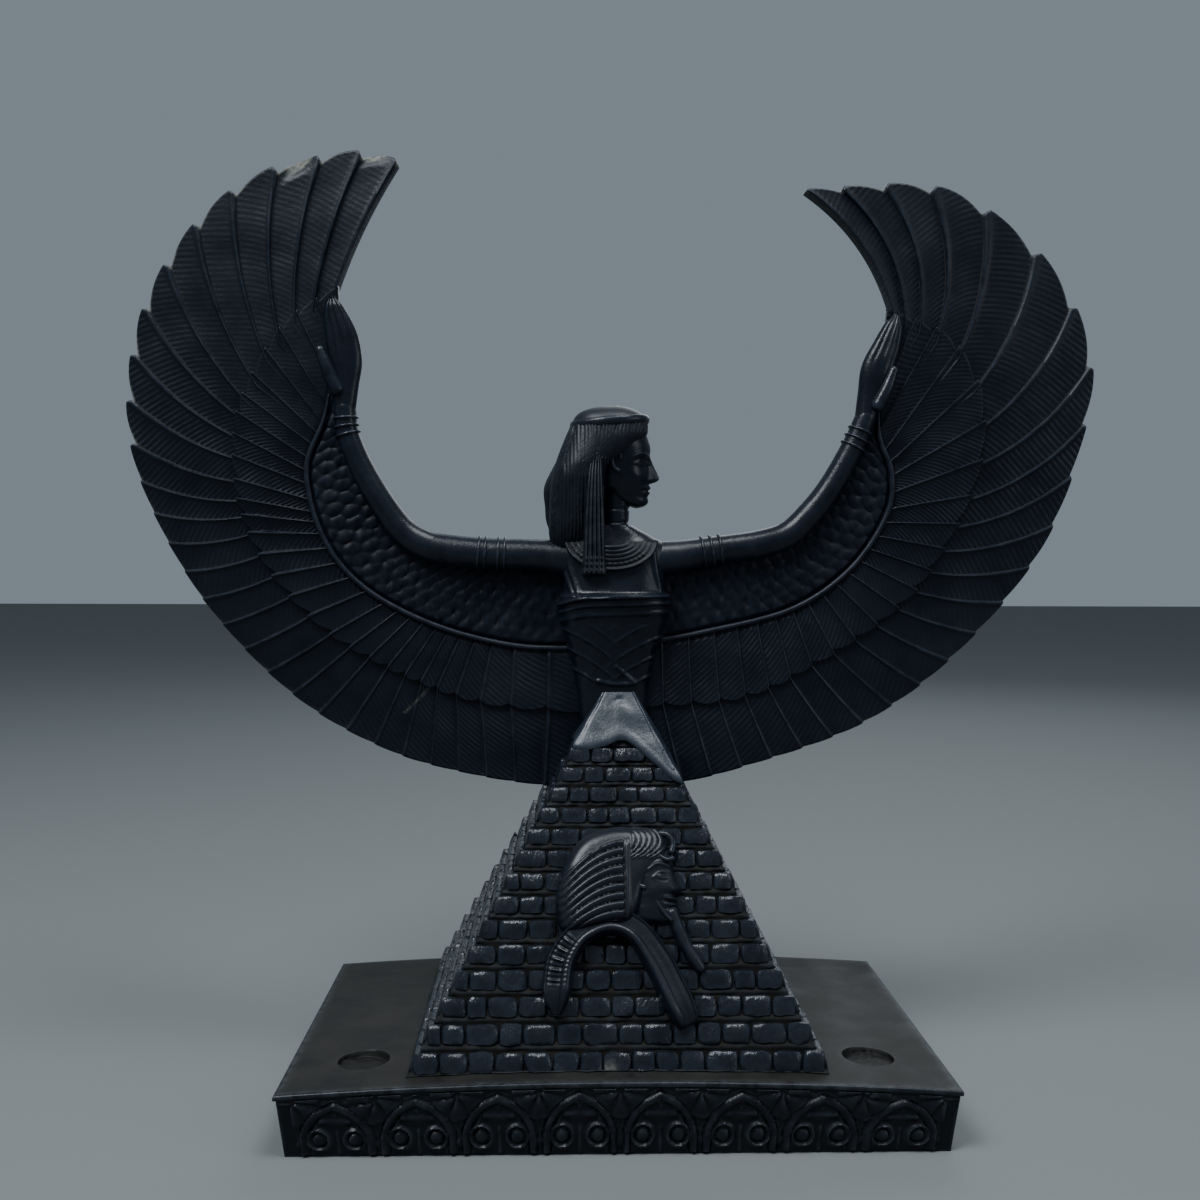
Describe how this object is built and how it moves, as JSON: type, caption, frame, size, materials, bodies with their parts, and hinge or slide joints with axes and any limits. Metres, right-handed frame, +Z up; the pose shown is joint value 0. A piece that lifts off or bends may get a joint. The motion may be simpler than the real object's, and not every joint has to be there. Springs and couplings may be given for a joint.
{
  "type": "winged egyptian goddess statuette",
  "caption": "Dark resin statuette of a winged goddess rising from a brick pyramid with a masked relief, set on a low plinth with an arched frieze.",
  "frame": {"origin": "middle of the plinth's underside, on the surface that it stands on", "axes": "+Z up, the front with the relief and the frieze faces -Y, +X towards the side that the goddess looks to"},
  "size_m": [0.3228, 0.1244, 0.3074],
  "materials": {
    "black_resin": "blue-black cast resin, satin on the high points and dusty in the hollows",
    "plinth_resin": "charcoal cast resin, dull and dusty on top, satin on the frieze"
  },
  "bodies": {
    "root": {"plinth": "plinth_resin", "winged_goddess": "black_resin"}
  },
  "joints": []
}
